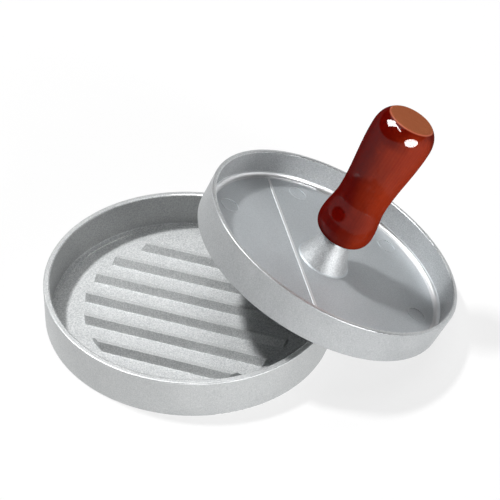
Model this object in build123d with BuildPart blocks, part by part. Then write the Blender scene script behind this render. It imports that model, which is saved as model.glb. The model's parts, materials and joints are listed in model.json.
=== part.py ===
from build123d import *
import os
from math import asin, atan2, cos, degrees, hypot, radians, sin

# Burger press in two cast halves: a shallow round pan and a plunger that fits into it.
# The plunger leans on the pan's rim, as it is put down between two patties.
# Millimetres. Origin at the centre of the pan's underside, +Z up, +X towards the lean.

os.makedirs("parts", exist_ok=True)

# Pan
pan_radius = 61.5
pan_height = 18.6
pan_outer_draft = 0.5
pan_rim = 2.7
pan_inner_draft = 0.4
pan_floor = 2.0
pan_foot_round = 0.9
rim_round = 0.6
ledge_width = 2.1
ledge_height = 0.6

# Grill ribs with sloping flanks, cut off along a circle, in the pan and under the plunger
rib_count = 6
rib_foot_width = 5.9
rib_pitch = 13.36
rib_circle = 44.8
rib_taper = 36
rib_edge_round = 0.3
pan_rib_height = 3.0
pan_rib_turn = -27.4
press_rib_height = 1.5

# Plunger, in heights above its underside
press_clearance = 0.6
press_height = 15.2
press_outer_draft = 0.3
press_rim = 1.95
press_foot_wall = 2.3
press_floor = 2.75
press_fillet = 2.2
press_foot_round = 0.6
press_rim_round = 0.5

# Marks that the casting die leaves on the plunger's floor
insert_uphill = 13.6
insert_downhill = 11.8
insert_step = 1.4
witness_width = 1.6
witness_height = 0.3
witness_taper = 35
pin_count = 6
pin_radius = 3.9
pin_circle = 45.6
pin_depth = 0.15
pin_first = 30
burr_width = 0.45
burr_height = 0.15

# Boss in the plunger's middle
boss_foot_radius = 11.2
boss_top_radius = 6.4
boss_top = 16.6
boss_waist = 0.5
boss_foot_round = 0.5
boss_top_round = 0.4

# Stud: a metal thread below, a wood thread above
stud_radius = 3.0
stud_in_boss = 12.0
stud_in_handle = 24.0
stud_chamfer = 0.6
stud_point = 5.0
stud_point_radius = 0.8
stud_clearance = 0.05
hole_extra = 1.0

# Turned handle, in heights above its lower end
handle_length = 61.9
handle_foot_radius = 8.1
handle_foot_slope = 0.35
handle_bulge_radius = 12.4
handle_bulge_height = 7.0
handle_waist_radius = 10.8
handle_waist_height = 20.7
handle_head_radius = 13.15
handle_head_height = 52.8
handle_top_radius = 9.05
handle_top_slope = 0.62

# Rest pose of the plunger: the pan's rim meets a rib a little past its centreline
press_turn = 1.5
rest_past_rib = 0.8
side_shift = -1.8
rest_gap = 0.1

pan_bore = pan_radius - pan_rim
pan_bore_foot = pan_bore - pan_inner_draft
ledge_top = pan_floor + ledge_height
press_radius = pan_bore_foot - press_clearance
press_foot_radius = press_radius - press_outer_draft
press_bore = press_radius - press_rim
press_bore_foot = press_foot_radius - press_foot_wall
insert_reach = press_bore_foot - press_fillet + insert_step

# The plunger's lower edge stands just above the table, and the rib next to its middle lies
# on the pan's rim. Both edges are rounded, so each contact is found on the centre of its
# rounding, and the lean follows from how far apart the two lie, along and across the underside.
rest_rib = 0 if rib_count % 2 else rib_pitch / 2
contact_reach = press_foot_radius - press_foot_round - rest_rib - rest_past_rib
contact_depth = rim_round + rest_gap + press_rib_height + press_foot_round
contact_rise = pan_height - rim_round - rest_gap - press_foot_round
lean = degrees(
    asin(contact_rise / hypot(contact_reach, contact_depth))
    + atan2(contact_depth, contact_reach)
)
lean_sin = sin(radians(lean))
lean_cos = cos(radians(lean))
press_z = (
    rest_gap
    + (press_foot_radius - press_foot_round) * lean_sin
    + press_foot_round * (1 - lean_cos)
)
rim_centre_x = pan_radius - rim_round
rim_centre_z = pan_height - rim_round
rib_plane_gap = rest_gap + rim_round + press_rib_height
press_x = rim_centre_x + ((rim_centre_z - press_z) * lean_cos + rib_plane_gap) / lean_sin

# The plunger's own directions: its X runs downhill, apart from a small turn about its axis
turn_sin = sin(radians(press_turn))
turn_cos = cos(radians(press_turn))
press_base = Plane(
    origin=(press_x, side_shift, press_z),
    x_dir=(lean_cos * turn_cos, turn_sin, -lean_sin * turn_cos),
    z_dir=(lean_sin, 0, lean_cos),
)
press_axis = Axis(press_base.origin, press_base.z_dir)
underside = Plane(
    origin=press_base.origin,
    x_dir=press_base.y_dir,
    z_dir=-press_base.z_dir,
)
# Half section of the turned pieces: across to the right, height upwards
section = Plane(
    origin=press_base.origin,
    x_dir=press_base.x_dir,
    z_dir=-press_base.y_dir,
)


def at_height(height):
    """Plane across the plunger's axis, at a height above its underside."""
    return press_base.offset(height)


def rib_stripes(reach):
    """Parallel stripes along X, in the current sketch, out to a circle."""
    with GridLocations(0, rib_pitch, 1, rib_count):
        Rectangle(2 * reach, rib_foot_width)
    Circle(reach, mode=Mode.INTERSECT)


def ring_outside_ribs(reach):
    """Everything between the circle that cuts the ribs off and the ends of the stripes."""
    Circle(reach + rib_edge_round)
    Circle(rib_circle, mode=Mode.SUBTRACT)


# Pan: floor, ledge and drafted wall in one turn, then the ribs on its floor
with BuildPart() as base_pan:
    with BuildSketch(Plane.XZ):
        with BuildLine():
            Polyline(
                (0, 0),
                (pan_radius - pan_outer_draft, 0),
                (pan_radius, pan_height),
                (pan_bore, pan_height),
                (pan_bore_foot, ledge_top),
                (pan_bore_foot - ledge_width, ledge_top),
                (pan_bore_foot - ledge_width, pan_floor),
                (0, pan_floor),
                close=True,
            )
        make_face()
    revolve(axis=Axis.Z)
    rim_edges = base_pan.edges().filter_by(GeomType.CIRCLE).group_by(Axis.Z)[-1]
    fillet(rim_edges, rim_round)
    foot_edges = base_pan.edges().filter_by(GeomType.CIRCLE).group_by(Axis.Z)[0]
    fillet(foot_edges, pan_foot_round)
    stripe_reach = rib_circle + pan_rib_height
    with BuildSketch(Plane.XY.offset(pan_floor).rotated((0, 0, pan_rib_turn))):
        rib_stripes(stripe_reach)
    extrude(amount=pan_rib_height, taper=rib_taper)
    with BuildSketch(Plane.XY.offset(pan_floor)):
        ring_outside_ribs(stripe_reach)
    extrude(amount=pan_rib_height, mode=Mode.SUBTRACT)
    rib_top = pan_floor + pan_rib_height
    rib_edges = base_pan.edges().filter_by(GeomType.LINE).filter_by_position(Axis.Z, rib_top, rib_top)
    fillet(rib_edges, rib_edge_round)
base_pan.part.label = "base_pan"

# Plunger: a shallow dish, open upwards, with ribs below and the boss inside
with BuildPart() as press_plate:
    with BuildSketch(section):
        with BuildLine():
            Polyline(
                (0, 0),
                (press_foot_radius, 0),
                (press_radius, press_height),
                (press_bore, press_height),
                (press_bore_foot, press_floor),
                (0, press_floor),
                close=True,
            )
        make_face()
    revolve(axis=press_axis)
    rings = press_plate.edges().filter_by(GeomType.CIRCLE).sort_by(press_axis)
    foot_ring = rings[0]
    floor_ring = rings[1]
    rim_rings = rings[-2:]
    fillet(rim_rings, press_rim_round)
    fillet(foot_ring, press_foot_round)
    fillet(floor_ring, press_fillet)
    # The die's insert reached a little further out than the rest of the floor
    with BuildSketch(at_height(press_floor)):
        with Locations(((insert_downhill - insert_uphill) / 2, 0)):
            Rectangle(insert_uphill + insert_downhill, 2 * press_bore_foot)
        Circle(insert_reach, mode=Mode.INTERSECT)
    extrude(amount=press_fillet, mode=Mode.SUBTRACT)
    # Witness ridge along the insert's uphill side, running into the fillet
    with BuildSketch(at_height(press_floor)):
        with Locations((-insert_uphill, 0)):
            Rectangle(witness_width, 2 * press_bore_foot)
        Circle(insert_reach, mode=Mode.INTERSECT)
    extrude(amount=witness_height, taper=witness_taper)
    # Round marks of the ejector pins, each with a low burr round it
    with BuildSketch(at_height(press_floor)):
        with PolarLocations(pin_circle, pin_count, start_angle=pin_first):
            Circle(pin_radius + burr_width)
            Circle(pin_radius, mode=Mode.SUBTRACT)
    extrude(amount=burr_height)
    with BuildSketch(at_height(press_floor)):
        with PolarLocations(pin_circle, pin_count, start_angle=pin_first):
            Circle(pin_radius)
    extrude(amount=-pin_depth, mode=Mode.SUBTRACT)
    # Ribs below, across the lean
    stripe_reach = rib_circle + press_rib_height
    with BuildSketch(underside):
        rib_stripes(stripe_reach)
    extrude(amount=press_rib_height, taper=rib_taper)
    with BuildSketch(underside):
        ring_outside_ribs(stripe_reach)
    extrude(amount=press_rib_height, mode=Mode.SUBTRACT)
    # Boss with a slightly hollow flank and a blind hole for the stud
    with BuildSketch(section):
        with BuildLine():
            flank_foot = (boss_foot_radius, press_floor + boss_foot_round)
            flank_top = (boss_top_radius, boss_top - boss_top_round)
            Polyline(
                flank_top,
                (boss_top_radius - boss_top_round, boss_top),
                (0, boss_top),
                (0, press_floor / 2),
                (boss_foot_radius + boss_foot_round, press_floor / 2),
                (boss_foot_radius + boss_foot_round, press_floor),
                flank_foot,
            )
            SagittaArc(flank_foot, flank_top, boss_waist)
        make_face()
    revolve(axis=press_axis)
    with BuildSketch(at_height(boss_top)):
        Circle(stud_radius + stud_clearance)
    extrude(amount=-(stud_in_boss + hole_extra), mode=Mode.SUBTRACT)
press_plate.part.label = "press_plate"

# Stud: plain bodies stand for the two threads
with BuildPart() as stud:
    with BuildSketch(section):
        with BuildLine():
            foot = boss_top - stud_in_boss
            tip = boss_top + stud_in_handle
            Polyline(
                (0, foot),
                (stud_radius - stud_chamfer, foot),
                (stud_radius, foot + stud_chamfer),
                (stud_radius, tip - stud_point),
                (stud_point_radius, tip),
                (0, tip),
                close=True,
            )
        make_face()
    revolve(axis=press_axis)
stud.part.label = "stud"

# Handle: foot bulge, waist and head turned from one piece of wood, with a blind bore
with BuildPart() as handle:
    with BuildSketch(section):
        with BuildLine():
            foot = (handle_foot_radius, boss_top)
            bulge = (handle_bulge_radius, boss_top + handle_bulge_height)
            waist = (handle_waist_radius, boss_top + handle_waist_height)
            head = (handle_head_radius, boss_top + handle_head_height)
            top = (handle_top_radius, boss_top + handle_length)
            Spline(foot, bulge, tangents=[(1, handle_foot_slope), (0, 1)])
            Spline(bulge, waist, tangents=[(0, 1), (0, 1)])
            Spline(waist, head, tangents=[(0, 1), (0, 1)])
            Spline(head, top, tangents=[(0, 1), (-1, handle_top_slope)])
            Polyline(top, (0, boss_top + handle_length), (0, boss_top), foot)
        make_face()
    revolve(axis=press_axis)
    with BuildSketch(at_height(boss_top)):
        Circle(stud_radius + stud_clearance)
    extrude(amount=stud_in_handle + hole_extra, mode=Mode.SUBTRACT)
handle.part.label = "handle"

for piece in (base_pan, press_plate, stud, handle):
    export_step(piece.part, f"parts/{piece.part.label}.step")
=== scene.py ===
# %% [markdown]
# # A burger press, dressed for its portrait
# A burger press is two castings: a shallow pan with ribs on its floor, and a plunger
# that fits into it, with a turned wooden handle. The solids come from the packed model.
# Here they get their finishes, a studio and a camera.
#
# The first cell brings in the tools and the fixed frame. Everything is in metres,
# with +Z up and the origin under the middle of the pan.

# %% Load the packed model
import json
import math

import bmesh
import bpy
from mathutils import Matrix, Vector


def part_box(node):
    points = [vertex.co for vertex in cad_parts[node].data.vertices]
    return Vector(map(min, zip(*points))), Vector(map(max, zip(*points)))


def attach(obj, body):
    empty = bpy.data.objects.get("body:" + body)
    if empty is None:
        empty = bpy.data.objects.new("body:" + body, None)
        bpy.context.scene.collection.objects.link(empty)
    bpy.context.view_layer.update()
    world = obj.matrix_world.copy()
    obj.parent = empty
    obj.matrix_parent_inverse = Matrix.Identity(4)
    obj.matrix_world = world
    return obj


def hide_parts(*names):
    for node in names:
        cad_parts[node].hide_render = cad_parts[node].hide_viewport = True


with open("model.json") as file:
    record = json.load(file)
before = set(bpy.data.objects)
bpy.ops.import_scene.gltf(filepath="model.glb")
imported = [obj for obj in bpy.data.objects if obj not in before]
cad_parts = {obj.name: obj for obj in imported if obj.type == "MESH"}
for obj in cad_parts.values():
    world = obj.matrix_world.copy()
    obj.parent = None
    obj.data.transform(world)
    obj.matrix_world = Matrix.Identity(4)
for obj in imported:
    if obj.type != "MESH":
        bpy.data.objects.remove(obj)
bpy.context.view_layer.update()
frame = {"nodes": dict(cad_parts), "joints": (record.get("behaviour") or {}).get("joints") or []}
print("nodes:", sorted(frame["nodes"]))

# %% [markdown]
# ## Where the plunger is
# The plunger leans on the pan's rim, so its finish needs its own directions: along its
# axis, across it, and how far up it a point is. The screw joint of the model tells us
# where the axis runs. The handle and the stud lie on that axis, and their meshes tell
# how far they reach along it. Reading both is safer than writing them down again.

# %% The plunger's axis, from the joint of the handle
turn = next(j for j in frame["joints"] if j["name"] == "handle_turn")
axis = Vector(turn["axis"]).normalized()
boss_point = Vector(turn["pos_m"])
downhill = Vector((axis.z, 0, -axis.x))
sideways = axis.cross(downhill)
print("lean of the plunger:", round(math.degrees(math.acos(axis.z)), 2), "degrees")


# %% The ends of the handle and the stud
def ends_on_axis(name):
    """The lowest and highest point of a solid along the axis, from the boss's top."""
    corners = frame["nodes"][name].data.vertices
    heights = [(corner.co - boss_point).dot(axis) for corner in corners]
    return min(heights), max(heights)


handle_end = ends_on_axis("handle")[1]
stud_foot, stud_tip = ends_on_axis("stud")
print("handle", round(handle_end * 1000, 2), "mm long")
print("stud from", round(stud_foot * 1000, 2), "to", round(stud_tip * 1000, 2), "mm")

# %% [markdown]
# ## Writing finishes as sums
# A material is a sheet of nodes. Drawn by hand it is a web of wires, but most of it is
# plain arithmetic, so a small class lets Python write it as sums: `1 - mask` adds a
# Math node by itself. Every node comes from one method, `node`, which sets the node's
# options first and then its inputs.


# %% Wires that can be added and multiplied
class Wire:
    """One output of a node, ready for arithmetic."""

    def __init__(self, sheet, socket):
        self.sheet = sheet
        self.socket = socket

    def __add__(self, other):
        return self.sheet.sum("ADD", self, other)

    def __sub__(self, other):
        return self.sheet.sum("SUBTRACT", self, other)

    def __rsub__(self, other):
        return self.sheet.sum("SUBTRACT", other, self)

    def __mul__(self, other):
        return self.sheet.sum("MULTIPLY", self, other)

    __radd__ = __add__
    __rmul__ = __mul__

    def rise(self, low, high):
        """Goes softly from 0 at low to 1 at high."""
        return self.sheet.node(
            "ShaderNodeMapRange",
            {"interpolation_type": "SMOOTHSTEP"},
            {"Value": self, "From Min": low, "From Max": high},
        )

    def between(self, low, high, soft):
        """1 from low to high, fading over a soft edge outside them."""
        return self.rise(low - soft, low) * (1 - self.rise(high, high + soft))


print("a wire also knows", ", ".join(name for name in vars(Wire) if name[0] != "_"))


# %% A sheet of nodes
class Sheet:
    """The nodes of one material, or of the world."""

    def __init__(self, tree):
        self.tree = tree
        tree.nodes.clear()

    def node(self, kind, settings=None, inputs=None, output=None):
        """Makes a node; its inputs go by name or by place, and the output by name."""
        made = self.tree.nodes.new(kind)
        for name, value in (settings or {}).items():
            setattr(made, name, value)
        for key, value in (inputs or {}).items():
            if isinstance(key, int):
                socket = made.inputs[key]
            else:
                socket = next(s for s in made.inputs if s.enabled and s.name == key)
            if isinstance(value, Wire):
                self.tree.links.new(value.socket, socket)
            else:
                socket.default_value = value
        for socket in made.outputs:
            if socket.enabled and output in (None, socket.name):
                return Wire(self, socket)
        return None

    def sum(self, operation, *values):
        settings = {"operation": operation}
        return self.node("ShaderNodeMath", settings, dict(enumerate(values)))

    def vector(self, operation, *values):
        settings = {"operation": operation}
        return self.node("ShaderNodeVectorMath", settings, dict(enumerate(values)))

    def place(self):
        """Where a point is in the frame at rest, also when the piece moves."""
        return self.node("ShaderNodeTexCoord", output="Object")

    def along(self, place, direction, start=(0, 0, 0)):
        """How far a point lies from start in a direction."""
        offset = self.vector("SUBTRACT", place, tuple(start))
        return self.vector("DOT_PRODUCT", offset, tuple(direction))

    def gather(self, x, y, z):
        return self.node("ShaderNodeCombineXYZ", inputs={"X": x, "Y": y, "Z": z})

    def length(self, across, side):
        """How far a point is from an axis, by how far it is in two directions."""
        return self.vector("LENGTH", self.gather(across, side, 0.0))

    def noise(self, place, size, detail=2.0, roughness=0.5):
        """Cloudy values around one half, with blobs of about the given size."""
        return self.node(
            "ShaderNodeTexNoise",
            inputs={
                "Vector": place,
                "Scale": 1 / size,
                "Detail": detail,
                "Roughness": roughness,
            },
        )

    def mix(self, factor, first, second):
        return self.node(
            "ShaderNodeMix",
            {"data_type": "RGBA"},
            {"Factor": factor, "A": first, "B": second},
        )

    def dimmed(self, shade, tone):
        """A colour made darker by a tone from 0 to 1."""
        return self.vector("MULTIPLY", shade, self.gather(tone, tone, tone))

    def bump(self, height, depth):
        """A relief: height runs from 0 to 1 over a depth in metres."""
        return self.node("ShaderNodeBump", inputs={"Height": height, "Distance": depth})

    def surface(self, inputs):
        """Ends the sheet with the shader that all the finishes of this part share."""
        shader = self.node("ShaderNodeBsdfPrincipled", inputs=inputs)
        self.node("ShaderNodeOutputMaterial", inputs={"Surface": shader})


print("a sheet writes", ", ".join(name for name in vars(Sheet) if name[0] != "_"))


# %% A new finish, and colours for it
def finish_sheet(name):
    material = bpy.data.materials.new(name)
    material.use_nodes = True
    return material, Sheet(material.node_tree)


def colour(red, green, blue):
    """A colour as painters' programs write it, 0 to 255, turned into light (sRGB)."""
    light = []
    for part in (red, green, blue):
        share = part / 255
        light.append(share / 12.92 if share <= 0.04045 else ((share + 0.055) / 1.055) ** 2.4)
    return (*light, 1.0)


print("a mid grey of 128 is", round(colour(128, 128, 128)[0], 3), "of full light")


# %% Directions that lean with the plunger
def leaning(sheet, place, start):
    """How far a point is up the axis, downhill and sideways, from a start on the axis."""
    return [sheet.along(place, way, start) for way in (axis, downhill, sideways)]


print("downhill is", [round(v, 3) for v in downhill])

# %% [markdown]
# ## Blasted aluminium
# Both castings come out of the die with a skin that shows flow lines, so they are
# blasted with fine beads. That leaves a matt silver face with a grain of a few tenths of
# a millimetre. It glitters a little, because each dimple catches the light in its own
# way. The grain is real relief in the bump, with small changes of roughness and colour
# on top, and slow clouds keep the large faces from looking printed. The outer walls
# have a quieter grain than the inside, so their colour gets less contrast. Where the
# metal is rubbed, part of the relief is worn away.
#
# A casting has many places that are rubbed, or darkened as painted shade. Each is a mask, from 0
# to 1, and a list of masks with their shares is added up into one value.

# %% The grain that beads leave
GRAIN = 0.00055
DIMPLE = 0.0009
CLOUD = 0.014
DENT = 0.0001
# How much the roughness changes with the grain, and where the metal is smooth
GLITTER = 0.25
POLISH = 0.35


def beaded(sheet, place):
    """Grain, dimples and clouds, each around zero."""
    grain = sheet.noise(place, GRAIN, detail=3, roughness=0.65) - 0.5
    dimples = sheet.noise(place, DIMPLE, detail=1) - 0.5
    clouds = sheet.noise(place, CLOUD, detail=3, roughness=0.6) - 0.5
    return grain, dimples, clouds


def speckled(sheet, beads, outside, inner, outer, cloudy, dark, pale):
    """The metal's colour, with one contrast of grain inside and one on the outer wall."""
    grain, _, clouds = beads
    contrast = inner - outside * (inner - outer)
    return sheet.mix(grain * contrast + clouds * cloudy + 0.5, dark, pale)


def added(masks):
    """Masks added up, each times its share."""
    return sum(mask * share for mask, share in masks)


def cast_surface(sheet, beads, shade, roughness, cloudy, smooth, worn):
    """Where a casting is smooth, a share of its grain is worn, and more of its dimples."""
    grain, dimples, clouds = beads
    relief = grain * (1 - smooth * worn) + dimples * (1 - smooth * (worn + 0.1))
    sheet.surface(
        {
            "Base Color": shade,
            "Metallic": 1.0,
            "Roughness": roughness + grain * GLITTER + clouds * cloudy - smooth * POLISH,
            "Normal": sheet.bump(relief, DENT),
        }
    )


print("grain of", GRAIN * 1000, "mm and dimples of", DIMPLE * 1000, "mm")

# %% [markdown]
# ## The pan's finish
# The pan is blasted all over, and hands polish the top of its rim. A mask on height makes that a
# little smoother. Matt metal mirrors a wide piece of what stands round it, so more masks darken
# the colour of the walls and the flanks of the ribs: that is painted shade, for the darker parts
# of the room that they mirror. Matt metal mirrors a wide piece of what stands round it, which a
# photograph doesn't show, so more masks dim the walls and the flanks of the ribs until their
# tones are those of the real casting. The masks follow the height and how far from the middle a
# point is. They start or end a hair away from a face, so that the whole face gets one value.

# %% Pan: its rim, walls and ribs
HAIR = 0.0002
BROAD = 0.001
RUB_DEPTH = 0.0007
PAN_FLOOR = 0.002
LEDGE_TOP = 0.0026
BORE_FOOT = 0.0578
MID_RIM = 0.0600
RIBS_END = 0.045

rim_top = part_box("base_pan")[1][2]
pan_metal, sheet = finish_sheet("blasted_pan")
place = sheet.place()
beads = beaded(sheet, place)
height = sheet.along(place, (0, 0, 1))
reach = sheet.vector("LENGTH", sheet.vector("MULTIPLY", place, (1, 1, 0)))
on_rim = height.rise(rim_top - RUB_DEPTH, rim_top - HAIR)
outside = reach.rise(MID_RIM - HAIR, MID_RIM + HAIR)
inner_wall = reach.rise(BORE_FOOT, BORE_FOOT + 1.5 * HAIR) * (1 - outside)
inner_wall = inner_wall * height.rise(LEDGE_TOP, LEDGE_TOP + BROAD)
flanks = height.rise(PAN_FLOOR + HAIR, PAN_FLOOR + 4 * HAIR)
flanks = flanks * (1 - reach.rise(RIBS_END, RIBS_END + BROAD))
print("pan: rim burnished above", round((rim_top - RUB_DEPTH) * 1000, 1), "mm")

# %% Pan: its tones and painted shade
PAN_DARK = colour(200, 203, 204)
PAN_PALE = colour(238, 239, 239)

below_rim = 1 - on_rim
rubbed = [(on_rim, 0.65)]
# Painted shade: the inner and outer walls and the ribs are darker than the metal itself.
painted_shade = [(inner_wall * below_rim, 0.37), (outside * below_rim, 0.17), (flanks, 0.09)]
shade = speckled(
    sheet, beads, outside, inner=3.9, outer=2.0, cloudy=0.5, dark=PAN_DARK, pale=PAN_PALE
)
shade = sheet.dimmed(shade, 1 - added(painted_shade))
cast_surface(
    sheet, beads, shade, roughness=0.74, cloudy=0.08, smooth=added(rubbed), worn=0.7
)
print("pan finish:", len(sheet.tree.nodes), "nodes")

# %% [markdown]
# ## The plunger's finish
# The plunger is the same metal. The floor of its dish is a little smoother and greyer than its
# wall, and the rounded corner between the two is smoother and painted paler: partly rubbed
# metal, partly a painted highlight ring. The line where two parts of the die met, and the rings
# that its pins left, stand a fraction of a millimetre proud; they are painted paler, partly as
# rubbed metal and partly as a painted highlight. Painted shade darkens the walls, the boss and
# the underside, and the darker underside bounces less light into the shade under the plunger.
# The plunger leans, so its masks follow its own axis.

# %% Plunger: its floor, boss, rim and walls
BOSS_TOP = 0.0166
PLUNGER_FLOOR = 0.00275
DISH_RADIUS = 0.0535
BOSS_REACH = 0.0118
PLUNGER_BORE = 0.0553
PLUNGER_MID_RIM = 0.0568
PLUNGER_RIM = 0.0152

plunger_foot = boss_point - axis * BOSS_TOP
plunger_metal, sheet = finish_sheet("blasted_plunger")
place = sheet.place()
beads = beaded(sheet, place)
height, across, side = leaning(sheet, place, plunger_foot)
reach = sheet.length(across, side)
on_floor = height.between(PLUNGER_FLOOR - 2 * HAIR, PLUNGER_FLOOR + 3 * HAIR, HAIR)
on_floor = on_floor * (1 - reach.rise(DISH_RADIUS - BROAD, DISH_RADIUS))
on_boss = 1 - reach.rise(BOSS_REACH, BOSS_REACH + 2 * HAIR)
on_boss = on_boss * height.rise(PLUNGER_FLOOR + HAIR, PLUNGER_FLOOR + 3 * HAIR)
on_rim = height.rise(PLUNGER_RIM - 3 * HAIR, PLUNGER_RIM - HAIR)
outside = reach.rise(PLUNGER_MID_RIM - HAIR, PLUNGER_MID_RIM + HAIR)
inner_wall = reach.rise(PLUNGER_BORE - 3 * HAIR, PLUNGER_BORE - HAIR) * (1 - outside)
underside = (1 - height.rise(HAIR, 3 * HAIR)) * (1 - outside)
print("plunger: foot at", [round(v, 4) for v in plunger_foot])

# %% Plunger: its corner ring and the marks of the die, painted bright
FILLET_REACH = 0.0528
FILLET_HEIGHT = 0.002
LINE_PROUD = 0.0003
LINE_EDGE = 0.00004
BURR_PROUD = 0.00015
BURR_EDGE = 0.00003

fillet_top = PLUNGER_FLOOR + FILLET_HEIGHT
line_top = PLUNGER_FLOOR + LINE_PROUD
burr_top = PLUNGER_FLOOR + BURR_PROUD
on_fillet = height.between(PLUNGER_FLOOR + HAIR / 2, fillet_top, 1.5 * HAIR)
on_fillet = reach.rise(FILLET_REACH, FILLET_REACH + 2 * HAIR) * on_fillet * (1 - outside)
on_line = height.between(line_top - 2 * LINE_EDGE, line_top + HAIR, LINE_EDGE)
on_burr = height.between(burr_top - HAIR / 4, burr_top + HAIR / 4, BURR_EDGE)
on_mark = on_line + on_burr * 0.3
on_mark = on_mark * reach.between(BOSS_REACH + 3 * HAIR, FILLET_REACH, HAIR)
print("die marks:", round(LINE_PROUD * 1000, 2), "and", round(BURR_PROUD * 1000, 2), "mm proud")

# %% Plunger: its tones, painted shade and painted highlights
PLUNGER_DARK = colour(197, 200, 202)
PLUNGER_PALE = colour(231, 233, 234)
DISH_GREY = colour(208, 214, 218)
# A paler colour for the corner ring and the die marks: partly rubbed metal, partly a painted
# highlight.
RUB_AND_HIGHLIGHT = colour(246, 247, 248)

below_rim = 1 - on_rim
inner_wall = inner_wall * below_rim
outer_wall = outside * below_rim
rubbed = [(on_floor, 0.15), (on_boss, 0.4), (on_rim, 0.8), (on_fillet, 0.8), (inner_wall, 0.3)]
# Painted shade on the walls, the boss and the underside; the darker underside also bounces less
# light into the shade under the plunger.
painted_shade = [(inner_wall, 0.23), (outer_wall, 0.19), (underside, 0.45), (on_boss, 0.08)]
shade = speckled(
    sheet, beads, outside, inner=3.6, outer=2.2, cloudy=0.7, dark=PLUNGER_DARK, pale=PLUNGER_PALE
)
shade = sheet.dimmed(shade, 1 - added(painted_shade))
shade = sheet.mix(on_floor * 0.6, shade, DISH_GREY)
# Painted highlight on the die marks and the corner ring, together with rubbed metal.
for bright in (on_mark, on_fillet):
    shade = sheet.mix(bright * 0.8, shade, RUB_AND_HIGHLIGHT)
cast_surface(
    sheet, beads, shade, roughness=0.72, cloudy=0.1, smooth=added(rubbed), worn=0.6
)
print("plunger finish:", len(sheet.tree.nodes), "nodes")

# %% [markdown]
# ## The stained handle
# The handle is turned beech, stained red-brown and dipped in clear lacquer. The wood gives the
# colour and faint streaks along the grain. The stain comes as a lighter and a darker copy: the
# side that faces the front lamps is painted light, the rest is painted shade, and the shoulder
# below the end gets more painted shade. The end is cut bare, with a pale edge that is partly a
# painted highlight.

# %% Handle: the grain of the wood
RING_WIDTH = 0.0013
RING_WANDERS = 9
# How far the heart of the tree lies uphill and sideways of the handle's axis
PITH = (0.021, 0.009)
FIBRE = 0.0007
DRIFT = 0.012
# Fibres and drift are drawn out along the handle by a small scale of its height
FIBRE_STRETCH = 0.05
DRIFT_STRETCH = 0.3

lacquered_wood, sheet = finish_sheet("lacquered_wood")
place = sheet.place()
height, across, side = leaning(sheet, place, boss_point)
drift = sheet.noise(sheet.gather(across, side, height * DRIFT_STRETCH), DRIFT) - 0.5
long_place = sheet.gather(across, side, height * FIBRE_STRETCH)
fibres = sheet.noise(long_place, FIBRE, detail=3) - 0.5
from_pith = sheet.length(across + PITH[0], side + PITH[1])
rings = sheet.sum("SINE", from_pith * (2 * math.pi / RING_WIDTH) + drift * RING_WANDERS)
streaks = rings * 0.07 + fibres * 0.6 + drift * 0.4
print("handle: growth rings", RING_WIDTH * 1000, "mm apart")

# %% Handle: where light and shade are painted onto the stain
# Painted light and shade: the stain is lighter on the side that faces the front lamps, that side
# is narrower near the foot, and the shoulder is darker.
PAINTED_LIGHT_SIDE = (0.26, -0.97)
PAINTED_LIGHT_WANDERS = 0.008
PAINTED_LIGHT_EDGE = (0.001, 0.012)
LIT_FLANK = (0.0075, 0.0125)
FOOT = (0.01, 0.03)
FOOT_NARROWING = 0.0045
# How far below the handle's end the painted shade on the shoulder begins and is full
SHOULDER = (0.0115, 0.0075)
SHOULDER_SHADE_SHARE = 0.8

# The mask of painted light, with painted shade over the shoulder except on the lit flank.
toward_lit_side = side * PAINTED_LIGHT_SIDE[1] + across * PAINTED_LIGHT_SIDE[0] + drift * PAINTED_LIGHT_WANDERS
narrower_at_foot = (1 - height.rise(*FOOT)) * FOOT_NARROWING
lit_side = (toward_lit_side - narrower_at_foot).rise(*PAINTED_LIGHT_EDGE)
painted_shoulder_shade = height.rise(*(handle_end - below for below in SHOULDER)) * SHOULDER_SHADE_SHARE
lit_side = lit_side * (1 - painted_shoulder_shade * (1 - toward_lit_side.rise(*LIT_FLANK)))
on_end = height.rise(handle_end - 2 * HAIR, handle_end - HAIR / 2)
on_edge = (1 - on_end) * height.rise(handle_end - 4 * HAIR, handle_end - 1.5 * HAIR)
# The printed height is where the painted shade on the shoulder begins.
print("handle: end grain soaks from", round((handle_end - SHOULDER[0]) * 1000, 1), "mm up")

# %% Handle: its colours, in painted light and painted shade
# A shaded and a lit copy of one red-brown stain: painted shade and painted light.
SHADED_STAIN = (colour(80, 4, 1), colour(100, 8, 2))
LIT_STAIN = (colour(144, 36, 14), colour(168, 58, 26))
BARE_END = (colour(144, 78, 50), colour(160, 94, 64))
# The pale edge under the end is partly worn lacquer and partly a painted highlight.
EDGE_HIGHLIGHT_AND_WEAR = colour(216, 122, 92)

stain_in_shade, stain_in_light, bare_wood = (
    sheet.mix(streaks + 0.5, dark, pale) for dark, pale in (SHADED_STAIN, LIT_STAIN, BARE_END)
)
# Painted light on one side, painted shade on the rest.
shade = sheet.mix(lit_side, stain_in_shade, stain_in_light)
shade = sheet.mix(on_end, shade, bare_wood)
# Painted highlight along the end's edge, together with worn lacquer.
shade = sheet.mix(on_edge * 0.8, shade, EDGE_HIGHLIGHT_AND_WEAR)
print("handle: the darkest stain is", [round(v, 3) for v in SHADED_STAIN[0][:3]])

# %% [markdown]
# ## Lacquer over the stain
# Stained wood under clear lacquer has two surfaces, so the shader has two layers. Its
# base is the wood, with slow waves in its relief, and its coat is the lacquer, with a
# low roughness of its own. The bare end has no coat.
#
# At a glancing angle lacquer mirrors much more than head on. A Layer Weight node holds
# that back here, because bright cards would wash out the handle's outline.

# %% Handle: lacquer
WAVE = 0.0036
WAVE_DEPTH = 0.0006
FACING_EDGE = (0.3, 0.85)
FAINT_COAT, FULL_COAT = 0.03, 0.32

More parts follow.
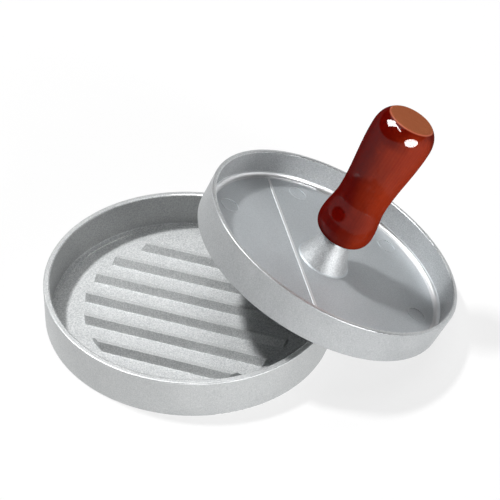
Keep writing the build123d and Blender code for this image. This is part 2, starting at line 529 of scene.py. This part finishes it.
relief = sheet.bump(sheet.noise(place, WAVE), WAVE_DEPTH)
turned_away = sheet.node("ShaderNodeLayerWeight", inputs={"Blend": 0.5}, output="Facing")
facing = (1 - turned_away).rise(*FACING_EDGE)
gloss = facing * (FULL_COAT - FAINT_COAT) + FAINT_COAT
sheet.surface(
    {
        "Base Color": shade,
        "Roughness": on_end * 0.1 + 0.5,
        "Specular IOR Level": 0.0,
        "Coat Weight": gloss * (1 - on_end),
        "Coat Roughness": 0.05,
        "Coat IOR": 1.5,
        "Normal": relief,
    }
)
print("handle finish:", len(sheet.tree.nodes), "nodes")

# %% [markdown]
# ## The threaded stud
# A short hanger bolt joins the handle to the plunger: a metal thread below, for the
# boss, and a coarse wood thread above, for the handle. It shows only when the handle
# is screwed out. The solid is a plain rod, so a finer piece replaces it here. A thread
# is a wave along the rod whose phase turns with the angle, so one rule for the radius
# makes both threads.

# %% Shape of the stud
STUD_RADIUS = 0.00298
METAL_PITCH = 0.001
METAL_DEPTH = 0.00055
METAL_FLAT = 0.12
WOOD_PITCH = 0.0026
WOOD_DEPTH = 0.0008
WOOD_FLAT = 0.3
SHANK = (0.0005, 0.0025)
END_BEVEL = 0.0006
POINT = 0.005
POINT_RADIUS = 0.0008


def crest(phase, flat):
    """A thread's wave from 0 at the root to 1 at the crest, with a flat of both."""
    climb = abs((phase % 1.0) * 2 - 1)
    return min(1.0, max(0.0, (climb - flat) / (1 - 2 * flat)))


def stud_radius(height, angle):
    """Radius at a height above the boss's top, at an angle round the rod."""
    share = angle / (2 * math.pi)
    if height < SHANK[0]:
        fade = min(1.0, (SHANK[0] - height) / METAL_PITCH)
        root = 1 - crest(height / METAL_PITCH - share, METAL_FLAT)
        bevelled = STUD_RADIUS - END_BEVEL + height - stud_foot
        return min(STUD_RADIUS - METAL_DEPTH * fade * root, bevelled)
    if height < SHANK[1]:
        return STUD_RADIUS
    fade = min(1.0, (height - SHANK[1]) / WOOD_PITCH)
    root = 1 - crest(height / WOOD_PITCH - share, WOOD_FLAT) ** 2
    radius = STUD_RADIUS - WOOD_DEPTH * fade * root
    taper = min(1.0, (stud_tip - height) / POINT)
    return POINT_RADIUS + (radius - POINT_RADIUS) * taper


print("stud: turns of metal thread", round((SHANK[0] - stud_foot) / METAL_PITCH, 1))

# %% Mesh of the stud
ROWS = 360
SIDES = 48


def build_stud():
    shape = bmesh.new()
    rings = []
    for row in range(ROWS + 1):
        height = stud_foot + (stud_tip - stud_foot) * row / ROWS
        ring = []
        for step in range(SIDES):
            angle = 2 * math.pi * step / SIDES
            out = downhill * math.cos(angle) + sideways * math.sin(angle)
            spot = boss_point + axis * height + out * stud_radius(height, angle)
            ring.append(shape.verts.new(spot))
        rings.append(ring)
    for low, high in zip(rings, rings[1:]):
        for step in range(SIDES):
            after = (step + 1) % SIDES
            shape.faces.new((low[step], low[after], high[after], high[step]))
    shape.faces.new(list(reversed(rings[0])))
    shape.faces.new(rings[-1])
    for face in shape.faces:
        face.smooth = len(face.verts) == 4
    mesh = bpy.data.meshes.new("hanger_bolt")
    shape.to_mesh(mesh)
    shape.free()
    piece = bpy.data.objects.new("hanger_bolt", mesh)
    bpy.context.scene.collection.objects.link(piece)
    return piece


stud = build_stud()
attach(stud, "stud")
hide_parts("stud")
print("stud:", len(stud.data.polygons), "faces")

# %% [markdown]
# ## Zinc on the stud
# The bolt is zinc plated steel. Zinc is a cool, slightly blue grey, and the thread
# rolls burnish the crests, so those are a little brighter than the roots.

# %% Stud finish
ZINC_DARK = colour(150, 154, 160)
ZINC_PALE = colour(205, 208, 212)
FILM = 0.002
SCRATCH = 0.0003
SCRATCH_DEPTH = 0.000008

zinc, sheet = finish_sheet("zinc_plated_steel")
place = sheet.place()
_, across, side = leaning(sheet, place, boss_point)
reach = sheet.length(across, side)
bright = reach.rise(STUD_RADIUS - 1.5 * HAIR, STUD_RADIUS)
film = sheet.noise(place, FILM, detail=3) - 0.5
sheet.surface(
    {
        "Base Color": sheet.mix(bright * 0.7 + film * 0.3, ZINC_DARK, ZINC_PALE),
        "Metallic": 1.0,
        "Roughness": 0.38 - bright * 0.1 + film * 0.15,
        "Normal": sheet.bump(sheet.noise(place, SCRATCH), SCRATCH_DEPTH),
    }
)
stud.data.materials.append(zinc)
print("stud finish: crests brightest at", round(STUD_RADIUS * 1000, 2), "mm")

# %% [markdown]
# ## Putting the finishes on
# The solids keep their shapes. Only what is in their material slots changes.

# %% Give each node its finish
finishes = {
    "base_pan": pan_metal,
    "press_plate": plunger_metal,
    "handle": lacquered_wood,
    "stud": zinc,
}
for name, finish in finishes.items():
    slots = frame["nodes"][name].material_slots
    for slot in slots:
        slot.material = finish
    print(name, "has", len(slots), "slot with", finish.name)

# %% [markdown]
# ## Floor and studio
# A press like this is photographed on a white table. Near the piece the floor is matt
# paper, which keeps the shadow. Much of its white is a glow that only the camera and
# reflections see, so that the lamps can stay low enough for the metal not to clip. Far
# away it is an even white. The studio's walls are white to ten degrees above the table,
# which is as high as a low view sees, with a brighter panel on one side. Above that
# the room is dark, which gives the metal its tones.

# %% Floor
FLOOR_HALF = 20.0
NEAR, FAR = 0.35, 1.2
PAPER = 0.25
TOP_UP = 0.745

floor_mesh = bpy.data.meshes.new("studio_floor")
corners = [(-1, -1), (1, -1), (1, 1), (-1, 1)]
floor_mesh.from_pydata(
    [(x * FLOOR_HALF, y * FLOOR_HALF, 0) for x, y in corners], [], [(0, 1, 2, 3)]
)
floor = bpy.data.objects.new("studio_floor", floor_mesh)
bpy.context.scene.collection.objects.link(floor)

paper, sheet = finish_sheet("white_paper")
distance = sheet.vector("LENGTH", sheet.place())
eye, mirrored, through = (
    sheet.node("ShaderNodeLightPath", output=ray)
    for ray in ("Is Camera Ray", "Is Glossy Ray", "Is Transmission Ray")
)
seen = sheet.sum("MAXIMUM", sheet.sum("MAXIMUM", eye, mirrored), through)
matt = sheet.node("ShaderNodeBsdfDiffuse", inputs={"Color": (PAPER, PAPER, PAPER, 1)})
lift = sheet.node("ShaderNodeEmission", inputs={"Strength": TOP_UP})
white = sheet.node("ShaderNodeEmission", inputs={"Strength": 1.0})
lifted = sheet.node("ShaderNodeAddShader", inputs={0: matt, 1: lift})
near = sheet.node("ShaderNodeMixShader", inputs={0: seen, 1: matt, 2: lifted})
afar = distance.rise(NEAR, FAR) * seen
look = sheet.node("ShaderNodeMixShader", inputs={0: afar, 1: near, 2: white})
sheet.node("ShaderNodeOutputMaterial", inputs={"Surface": look})
floor_mesh.materials.append(paper)
print("floor:", FLOOR_HALF * 2, "m across")

# %% World
ROOM = 0.03
TABLE_LIGHT = 1.0
PANEL = 1.15
PANEL_SIDE = (0.707, 0.707, 0.0)
PANEL_EDGE = (0.84, 0.94)
PANEL_TOP = (0.3, 0.38)
BAND_TOP = (0.16, 0.19)

world = bpy.data.worlds.new("studio")
bpy.context.scene.world = world
world.use_nodes = True
sheet = Sheet(world.node_tree)
direction = sheet.node("ShaderNodeTexCoord", output="Generated")
up = sheet.along(direction, (0, 0, 1))
band = (1 - up.rise(*BAND_TOP)) * TABLE_LIGHT
panel = sheet.along(direction, PANEL_SIDE).rise(*PANEL_EDGE) * (1 - up.rise(*PANEL_TOP))
level = sheet.sum("MAXIMUM", band, panel * PANEL) + ROOM
background = sheet.node(
    "ShaderNodeBackground", inputs={"Color": (1, 1, 1, 1), "Strength": level}
)
sheet.node("ShaderNodeOutputWorld", inputs={"Surface": background})
print("studio: dark part of the room at", ROOM)

# %% [markdown]
# ## Lamps
# Each lamp is a soft rectangle that looks at the piece. A small, strong one stands high
# on the left, behind the piece, and draws the shadows. Two wide low ones in front light
# the outer walls, and one above and one behind soften the shade.

# %% Lamps
AIM = Vector((0.03, 0.0, 0.03))
LAMP_DISTANCE = 3.0


def sight(azimuth, elevation):
    """The direction to a place in the studio; azimuth 0 is along +X."""
    around, upward = math.radians(azimuth), math.radians(elevation)
    flat = math.cos(upward)
    return Vector((math.cos(around) * flat, math.sin(around) * flat, math.sin(upward)))


def lamp_at(name, centre, distance, toward, size, power, roll=0.0):
    """A rectangle of light that looks at a centre from a distance."""
    light = bpy.data.lights.new(name, "AREA")
    light.shape = "RECTANGLE"
    light.size, light.size_y = size
    light.energy = power
    lamp = bpy.data.objects.new(name, light)
    lamp.location = centre + toward * distance
    facing = toward.to_track_quat("Z", "Y").to_matrix()
    lamp.rotation_euler = (facing @ Matrix.Rotation(roll, 3, "Z")).to_euler()
    bpy.context.scene.collection.objects.link(lamp)
    return lamp


lamps = [
    ("key_softbox", sight(146, 63), (0.36, 0.26), 67),
    ("fill_softbox", sight(-62, 12), (0.6, 0.6), 36),
    ("low_softbox", sight(-84, 8), (0.9, 0.45), 19),
    ("top_softbox", sight(0, 89), (1.4, 1.4), 12),
    ("back_softbox", sight(90, 60), (1.2, 1.0), 9),
]
for name, toward, size, power in lamps:
    lamp_at(name, AIM, LAMP_DISTANCE, toward, size, power)
print("lamps:", len(lamps), "with", sum(lamp[3] for lamp in lamps), "W in all")

# %% [markdown]
# ## Cards for the lacquer
# A photographer holds bright cards close to a glossy piece, and it mirrors them as
# crisp white shapes. The key lamp is small, to keep the shadows sharp, so the lacquer
# mirrors it only as a dot. These cards are linked to the handle alone, and its stained
# wood under the lacquer doesn't get their light, so nothing else in the picture changes.

# %% Cards
HANDLE_HEAD = Vector((0.087, 0.0, 0.086))
CARD_DISTANCE = 0.6
CARD_GLOW = 75.0
FRONT_GLOW = 58.0

mirror = bpy.data.collections.new("what_mirrors_the_cards")
mirror.objects.link(frame["nodes"]["handle"])


def card(name, toward, size, glow, shape="RECTANGLE", roll=0.0):
    """A bright card near the handle that only the lacquer mirrors."""
    power = glow * math.pi * size[0] * size[1]
    made = lamp_at(name, HANDLE_HEAD, CARD_DISTANCE, toward, size, power, roll)
    made.data.shape = shape
    made.visible_camera = False
    made.visible_diffuse = False
    made.light_linking.receiver_collection = mirror


card("key_card", sight(154, 61), (0.3, 0.36), CARD_GLOW)
card("strip_card", sight(-138, 73), (0.06, 0.36), CARD_GLOW, roll=0.9)
card("front_card", sight(-72, 12), (0.56, 0.36), FRONT_GLOW, "ELLIPSE")
print("cards:", [light.name for light in bpy.data.lights if "card" in light.name])

# %% [markdown]
# ## Camera
# The photograph looks down on the press from the front and a little from the left, from
# two thirds of a metre away, and its horizon is turned by four degrees. The camera below
# stands there and looks at the middle of the press, 30 mm above the table. A camera
# looks down its own -Z, so its matrix holds the directions of its right, its top and
# its back, with the first two turned by those degrees.

# %% Camera
LENS = 115.2
SENSOR = 36.0
CAMERA_PLACE = Vector((-0.0967, -0.49872, 0.45619))
CAMERA_TARGET = Vector((0.02523, 0.00323, 0.03))
HORIZON_TURN = math.radians(3.98)

camera_data = bpy.data.cameras.new("portrait_camera")
camera_data.lens = LENS
camera_data.sensor_width = SENSOR
camera = bpy.data.objects.new("portrait_camera", camera_data)
look = (CAMERA_TARGET - CAMERA_PLACE).normalized()
level_right = look.cross(Vector((0, 0, 1))).normalized()
right = Matrix.Rotation(-HORIZON_TURN, 3, look) @ level_right
turned = Matrix((right, right.cross(look), -look)).transposed().to_4x4()
camera.matrix_world = Matrix.Translation(CAMERA_PLACE) @ turned
bpy.context.scene.collection.objects.link(camera)
bpy.context.scene.camera = camera
bpy.context.scene.view_settings.view_transform = "Standard"
print("camera", round((CAMERA_PLACE - CAMERA_TARGET).length, 3), "m from its target")

# %% [markdown]
